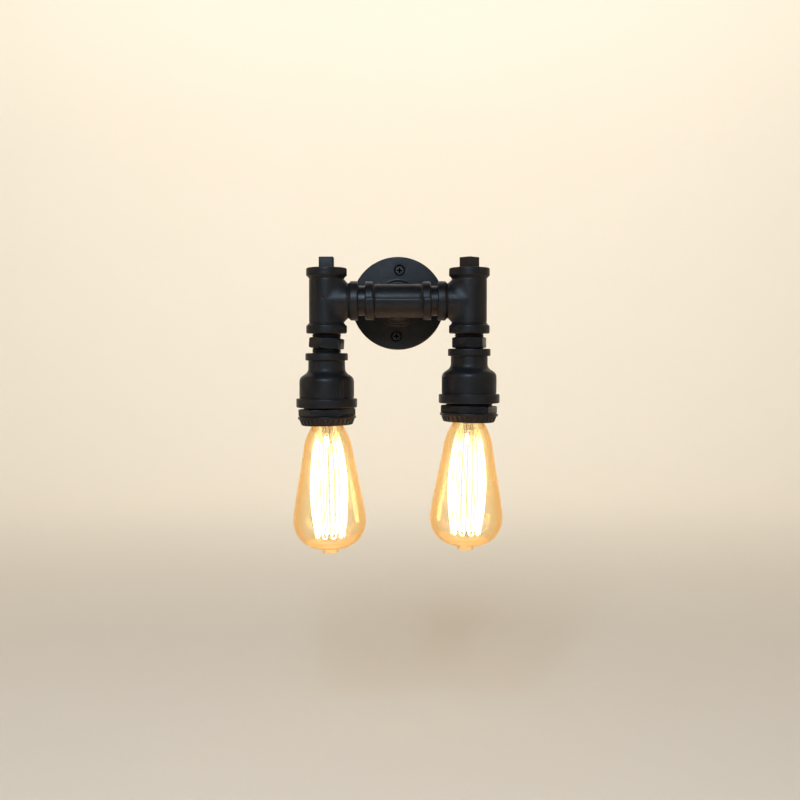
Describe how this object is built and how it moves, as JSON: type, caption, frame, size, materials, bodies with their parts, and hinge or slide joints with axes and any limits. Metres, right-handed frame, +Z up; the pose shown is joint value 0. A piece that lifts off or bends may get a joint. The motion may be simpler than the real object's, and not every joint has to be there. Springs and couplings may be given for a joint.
{
  "type": "wall lamp",
  "caption": "Industrial twin wall lamp: black pipe fittings on a round flange carry two hanging arms with screw lampholders and amber cage filament bulbs.",
  "frame": {"origin": "centre of the wall flange's back face, on the wall", "axes": "+X to the viewer's right along the pipe run, +Y into the wall, +Z up along the hanging arms"},
  "size_m": [0.1838, 0.104, 0.2635],
  "materials": {
    "black_iron": "satin black paint on rough cast iron",
    "black_pipe": "satin black paint on machined steel",
    "screw_steel": "black painted screw",
    "porcelain": "unglazed steatite",
    "brass": "bright",
    "contact_metal": "tinned",
    "flex_rubber": "matt",
    "holder_plastic": "moulded phenolic, satin",
    "cap_glass": "black insulating glass",
    "amber_glass": "clear amber glass",
    "clear_glass": "clear glass",
    "support_wire": "drawn wire",
    "filament": "lit filament"
  },
  "bodies": {
    "wall_bracket": {"wall_flange": "black_iron", "wall_screws": "screw_steel", "flange_nipple": "black_pipe", "centre_tee": "black_iron", "splice_block": "porcelain", "splice_screws": "brass", "left_side_nipple": "black_pipe", "right_side_nipple": "black_pipe", "left_pipe_flex": "flex_rubber", "right_pipe_flex": "flex_rubber"},
    "left_arm": {"left_tee": "black_iron", "left_plug": "black_iron", "left_hex_nipple": "black_pipe", "left_bell": "black_iron", "left_bushing": "black_pipe", "left_arm_flex": "flex_rubber", "left_flex_cores": "flex_rubber", "left_holder_cap": "holder_plastic", "left_holder_skirt": "holder_plastic", "left_contact_block": "porcelain", "left_centre_contact": "brass", "left_terminal_screws": "brass", "left_screw_shell": "brass"},
    "left_ring": {"left_shade_ring": "holder_plastic"},
    "left_bulb_travel": {"left_bulb_contact": "contact_metal"},
    "left_bulb": {"left_bulb_insulator": "cap_glass", "left_bulb_cap": "brass", "left_bulb_glass": "amber_glass", "left_bulb_stem": "clear_glass", "left_bulb_supports": "support_wire", "left_bulb_leads": "support_wire", "left_bulb_filament": "filament"},
    "right_arm": {"right_tee": "black_iron", "right_plug": "black_iron", "right_hex_nipple": "black_pipe", "right_bell": "black_iron", "right_bushing": "black_pipe", "right_arm_flex": "flex_rubber", "right_flex_cores": "flex_rubber", "right_holder_cap": "holder_plastic", "right_holder_skirt": "holder_plastic", "right_contact_block": "porcelain", "right_centre_contact": "brass", "right_terminal_screws": "brass", "right_screw_shell": "brass"},
    "right_ring": {"right_shade_ring": "holder_plastic"},
    "right_bulb_travel": {"right_bulb_contact": "contact_metal"},
    "right_bulb": {"right_bulb_insulator": "cap_glass", "right_bulb_cap": "brass", "right_bulb_glass": "amber_glass", "right_bulb_stem": "clear_glass", "right_bulb_supports": "support_wire", "right_bulb_leads": "support_wire", "right_bulb_filament": "filament"}
  },
  "joints": [
    {"name": "left_arm_swivel", "type": "hinge", "parent": "wall_bracket", "child": "left_arm", "pos_m": [-0.0623, -0.048, 0], "axis": [1, 0, 0], "range_deg": [-90, 3]},
    {"name": "left_ring_travel", "type": "slide", "parent": "left_arm", "child": "left_ring", "axis": [0.0244, 0, -0.9997], "range_m": [0, 0.006]},
    {"name": "left_bulb_out", "type": "slide", "parent": "left_arm", "child": "left_bulb_travel", "axis": [0.0244, 0, -0.9997], "range_m": [0, 0.01643]},
    {"name": "left_bulb_turn", "type": "hinge", "parent": "left_bulb_travel", "child": "left_bulb", "pos_m": [-0.0623, -0.048, -0.0941], "axis": [0.0244, 0, -0.9997], "range_deg": [0, 1620]},
    {"name": "right_arm_swivel", "type": "hinge", "parent": "wall_bracket", "child": "right_arm", "pos_m": [0.0623, -0.048, 0], "axis": [1, 0, 0], "range_deg": [-90, 3]},
    {"name": "right_ring_travel", "type": "slide", "parent": "right_arm", "child": "right_ring", "axis": [-0.0244, 0, -0.9997], "range_m": [0, 0.006]},
    {"name": "right_bulb_out", "type": "slide", "parent": "right_arm", "child": "right_bulb_travel", "axis": [-0.0244, 0, -0.9997], "range_m": [0, 0.01643]},
    {"name": "right_bulb_turn", "type": "hinge", "parent": "right_bulb_travel", "child": "right_bulb", "pos_m": [0.0623, -0.048, -0.0913], "axis": [-0.0244, 0, -0.9997], "range_deg": [0, 1620]}
  ],
  "couplings": [
    {"joint": "left_bulb_out", "follows": "left_bulb_turn", "m_per_rad": 0.00057757},
    {"joint": "right_bulb_out", "follows": "right_bulb_turn", "m_per_rad": 0.00057757}
  ]
}
